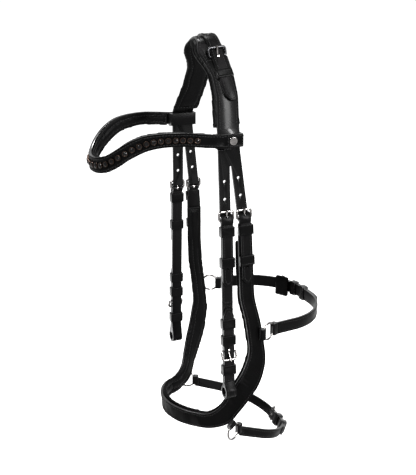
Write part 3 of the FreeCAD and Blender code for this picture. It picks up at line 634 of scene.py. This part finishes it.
def pulled_strip(name, wide, points):
    """A strip pulled out edge by edge along points, one edge a step."""
    lay_down_tools()
    first, second = points[:2]
    bpy.ops.mesh.primitive_plane_add(size=1)
    strip = bpy.context.object
    strip.name = name
    for vertex in strip.data.vertices:
        spot = second if vertex.co.y > 0 else first
        vertex.co = spot + Vector((math.copysign(wide / 2, vertex.co.x), 0, 0))
    bpy.ops.object.mode_set(mode="EDIT")
    bpy.ops.mesh.select_mode(type="EDGE")
    bpy.ops.mesh.select_all(action="DESELECT")
    shape = bmesh.from_edit_mesh(strip.data)
    for edge in shape.edges:
        edge.select_set(all((v.co - second).length < wide / 2 + MM / 10 for v in edge.verts))
    bmesh.update_edit_mesh(strip.data)
    for before, after in zip(points[1:], points[2:]):
        bpy.ops.mesh.extrude_edges_move(TRANSFORM_OT_translate={"value": after - before})
    return strip


def billet_through_buckle(node, tip):
    """The stretch of a billet that bends over the buckle bar, with its hole for the tongue."""
    low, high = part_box(tip)
    bar_low, bar_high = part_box(node)
    side = math.copysign(1, low.y)
    bar = Vector(((bar_low.x + bar_high.x) / 2, (bar_low.y + bar_high.y) / 2,
                  bar_low.z + BAR_RADIUS * MM))

    def by_bar(across, out, up):
        return bar + Vector((across, side * out, up)) * MM

    strip = pulled_strip(tip.replace("tip", "bend"), STRAP_WIDTH * MM,
                         [by_bar(0, out, up) for out, up in THROUGH_BUCKLE])
    for edge in (-SLOT_HALF, SLOT_HALF):
        bpy.ops.mesh.select_all(action="SELECT")
        bpy.ops.mesh.bisect(plane_co=by_bar(edge, 0, 0), plane_no=(1, 0, 0))
    bpy.ops.mesh.select_mode(type="FACE")
    bpy.ops.mesh.select_all(action="DESELECT")
    shape = bmesh.from_edit_mesh(strip.data)
    for face in shape.faces:
        middle = (face.calc_center_median() - bar) / MM
        face.select_set(abs(middle.x) < SLOT_HALF and SLOT_LOW < middle.z < SLOT_HIGH)
    bmesh.update_edit_mesh(strip.data)
    bpy.ops.mesh.delete(type="FACE")
    turn_outwards(strip)
    finish_with(strip, "SOLIDIFY", thickness=BILLET_THICKNESS * MM, offset=0)
    turn_outwards(strip)
    round_edges(strip, 0.35)
    smooth(strip, 60)
    dress(strip, strap_leather)
    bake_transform(strip)


for side in SIDES:
    billet_through_buckle(f"cheek_buckle_{side}", f"cheek_billet_tip_{side}")
    billet_through_buckle(f"noseband_buckle_{side}", f"noseband_billet_tip_{side}")


# ------------------------------------------------------------------ pads

PRESSURE = 4.0
STUFFING_FRAMES = 20


def stuff(piece, pressure, cap):
    """Fills a pad: it swells like a stuffed leather cover, each point by cap at most."""
    before = [v.co.copy() for v in piece.data.vertices]
    take(piece)
    cloth = piece.modifiers.new("stuffing", "CLOTH")
    cloth.settings.use_pressure = True
    cloth.settings.uniform_pressure_force = pressure
    cloth.settings.effector_weights.gravity = 0
    for moment in range(1, STUFFING_FRAMES + 1):
        bpy.context.scene.frame_set(moment)
    bpy.ops.object.modifier_apply(modifier=cloth.name)
    bpy.context.scene.frame_set(1)
    for vertex, start in zip(piece.data.vertices, before):
        moved = vertex.co - start
        if moved.length > cap * MM:
            vertex.co = start + moved * (cap * MM / moved.length)


def rim_points(line, step=1.0):
    """Points close together along a closed line of (point, normal)."""
    made = []
    for (a, _), (b, _) in zip(line, line[1:] + line[:1]):
        count = max(1, round((b - a).length / (step * MM)))
        made += [a.lerp(b, k / count) for k in range(count)]
    return made


def quilt(piece, line, out, deep, wide):
    """Draws a sewn channel into a pad along a line, on the side away from out."""
    points = rim_points(line)
    near = KDTree(len(points))
    for number, point in enumerate(points):
        near.insert(point, number)
    near.balance()
    moves = []
    for vertex in piece.data.vertices:
        gap = near.find(vertex.co)[2] / (wide * MM)
        if gap < 3 and vertex.normal.dot(out(vertex.co)) < 0.3:
            moves.append((vertex, vertex.normal * deep * MM * math.exp(-gap * gap)))
    for vertex, move in moves:
        vertex.co -= move


def padding(node, out, channel, swell=1.3, voxel=2.0):
    """A soft padded lining with a channel sewn round it, channel mm from its edges."""
    body = NODES[node]["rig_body"]
    pattern = pattern_of("pattern", node)
    inwards = lambda point: -out(point)
    lines = [line for line in crease(pattern, inwards, channel)
             if len(rim_points(line)) > SHORTEST_SEAM]
    bpy.data.objects.remove(pattern)
    pad = cut_out(node + "_pad", node)
    dress(pad, lining_leather)
    finish_with(pad, "REMESH", mode="VOXEL", voxel_size=voxel * MM)
    finish_with(pad, "SMOOTH", factor=0.5, iterations=3)
    stuff(pad, PRESSURE, swell)
    finish_with(pad, "SUBSURF", levels=1, render_levels=1)
    for line in lines:
        quilt(pad, line, out, deep=1.7, wide=1.5)
    smooth(pad, 180)
    laid = []
    for line in lines:
        found = [pad.closest_point_on_mesh(point) for point, _ in line]
        laid.append([(spot, normal) for hit, spot, normal, _ in found if hit])
    if laid:
        sew(node + "_stitching", body, laid, pitch=4.2, long=3.0)


padding("headpiece_padding", over_headpiece, channel=6.0)
padding("browband_padding", round_brow, channel=4.5)
padding("noseband_padding", round_nose, channel=6.5)


def jaw_cushion():
    """The rounded leather pad behind the jaw buckle."""
    pad = cut_out("jaw_pad_cushion", "jaw_pad")
    dress(pad, strap_leather)
    finish_with(pad, "REMESH", mode="VOXEL", voxel_size=1.2 * MM)
    finish_with(pad, "SMOOTH", factor=0.5, iterations=30)
    stuff(pad, PRESSURE, 0.8)
    finish_with(pad, "SUBSURF", levels=1, render_levels=1)
    smooth(pad, 180)


jaw_cushion()


# ------------------------------------------------------------------ crystals

def seats(node):
    """Middle and outward direction of each small disc in a node."""
    shape = bmesh.new()
    pattern = pattern_of("discs", node)
    shape.from_mesh(pattern.data)
    bpy.data.objects.remove(pattern)
    left, found = set(shape.verts), []
    while left:
        group, edge = [], [left.pop()]
        while edge:
            here = edge.pop()
            group.append(here)
            for link in here.link_edges:
                other = link.other_vert(here)
                if other in left:
                    left.discard(other)
                    edge.append(other)
        faces = {f for v in group for f in v.link_faces}
        outward = round_brow(group[0].co)
        top = max(faces, key=lambda f: f.calc_area() * (f.normal.dot(outward) > 0.5))
        found.append((top.calc_center_median(), top.normal.copy()))
    shape.free()
    return found


def cut_stone():
    """A round cut stone: a low girdle, a ring of slanted facets and a flat table."""
    lay_down_tools()
    bpy.ops.mesh.primitive_cylinder_add(vertices=12, radius=2.75 * MM, depth=0.9 * MM,
                                        location=(0, 0, -1.0 * MM))
    stone = bpy.context.object
    settle(stone)
    bpy.ops.object.mode_set(mode="EDIT")
    bpy.ops.mesh.select_mode(type="FACE")
    for inset, rise in ((0.65, 0.7), (0.6, 0.25)):
        bpy.ops.mesh.select_all(action="DESELECT")
        shape = bmesh.from_edit_mesh(stone.data)
        top = max(shape.faces, key=lambda f: f.calc_center_median().z)
        top.select_set(True)
        bmesh.update_edit_mesh(stone.data)
        bpy.ops.mesh.inset(thickness=inset * MM)
        bpy.ops.transform.translate(value=(0, 0, rise * MM))
        bpy.ops.transform.rotate(value=math.radians(15), orient_axis="Z",
                                 center_override=(0, 0, 0))
    bpy.ops.object.mode_set(mode="OBJECT")
    finish_with(stone, "TRIANGULATE")
    return as_shape(stone)


def set_stones():
    """A cut stone in the place of each crystal, in cups with softened rims."""
    up = Vector((0, 0, 1))
    places = []
    for spot, normal in seats("browband_crystals"):
        places.append(standing(spot, up.cross(normal).normalized(), normal))
    stones = copies("browband_cut_stones", cut_stone(), places)
    dress(stones, crystal)
    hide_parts("browband_crystals")
    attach(stones, "browband")
    cups = cut_out("browband_stone_cups", "browband_crystal_cups")
    dress(cups, bronze)
    round_edges(cups, 0.22)


set_stones()


# ------------------------------------------------------------------ metalwork

for node, piece in NODES.items():
    if any(word in node for word in ("buckle", "tongue", "stud")) or (
            "ring_" in node and "chapes" not in node):
        piece.data.materials.clear()
        # The crown buckle gets the near-black metal, all other metalwork the polished steel.
        piece.data.materials.append(near_black_metal if node == "crown_buckle" else silver)
